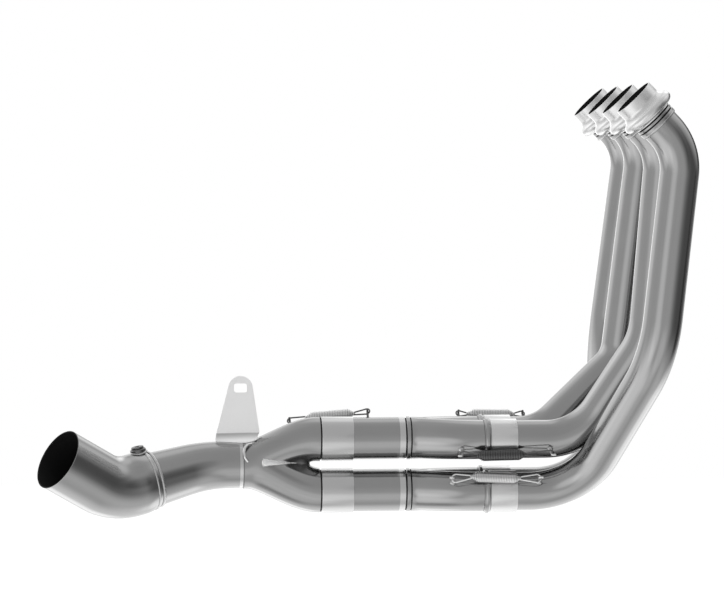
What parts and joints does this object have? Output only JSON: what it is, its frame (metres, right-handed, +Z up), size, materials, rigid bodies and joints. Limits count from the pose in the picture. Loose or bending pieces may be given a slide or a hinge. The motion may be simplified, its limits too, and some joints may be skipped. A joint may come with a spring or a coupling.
{
  "type": "motorcycle exhaust header",
  "caption": "Four-into-two-into-one exhaust header of an inline-four motorcycle, with turned port sleeves, sprung slip joints, stacked collectors, a hanger plate and an outlet elbow.",
  "frame": {"origin": "bottom centre of the header's bounding box, as it hangs on the machine", "axes": "+X to the front of the machine, +Y to its left side, +Z up"},
  "size_m": [0.6372, 0.3092, 0.4288],
  "materials": {
    "tube": "brushed",
    "turned": "turned, bright",
    "sheet": "satin",
    "wire": "polished",
    "dark": "darkened"
  },
  "bodies": {
    "root": {"primary_tube_1": "tube", "primary_tube_2": "tube", "primary_tube_3": "tube", "primary_tube_4": "tube", "collector_upper": "tube", "link_tube_upper": "tube", "collector_lower": "tube", "link_tube_lower": "tube", "y_collector": "tube", "mid_pipe": "tube", "outlet_elbow": "tube", "port_sleeve_1": "turned", "slip_sleeve_1": "turned", "port_sleeve_2": "turned", "slip_sleeve_2": "turned", "port_sleeve_3": "turned", "slip_sleeve_3": "turned", "port_sleeve_4": "turned", "slip_sleeve_4": "turned", "joint_ring_upper": "turned", "rear_sleeve_upper": "turned", "joint_ring_lower": "turned", "rear_sleeve_lower": "turned", "mounting_bracket": "sheet", "outlet_hook": "wire", "hook_rear_1": "wire", "hook_front_1": "wire", "spring_1": "wire", "hook_rear_2": "wire", "hook_front_2": "wire", "spring_2": "wire", "hook_rear_3": "wire", "hook_front_3": "wire", "spring_3": "wire", "hook_rear_4": "wire", "hook_front_4": "wire", "spring_4": "wire", "hook_rear_5": "wire", "hook_front_5": "wire", "spring_5": "wire", "hook_rear_6": "wire", "hook_front_6": "wire", "spring_6": "wire", "sensor_boss": "dark", "sensor_plug": "dark"}
  },
  "joints": []
}
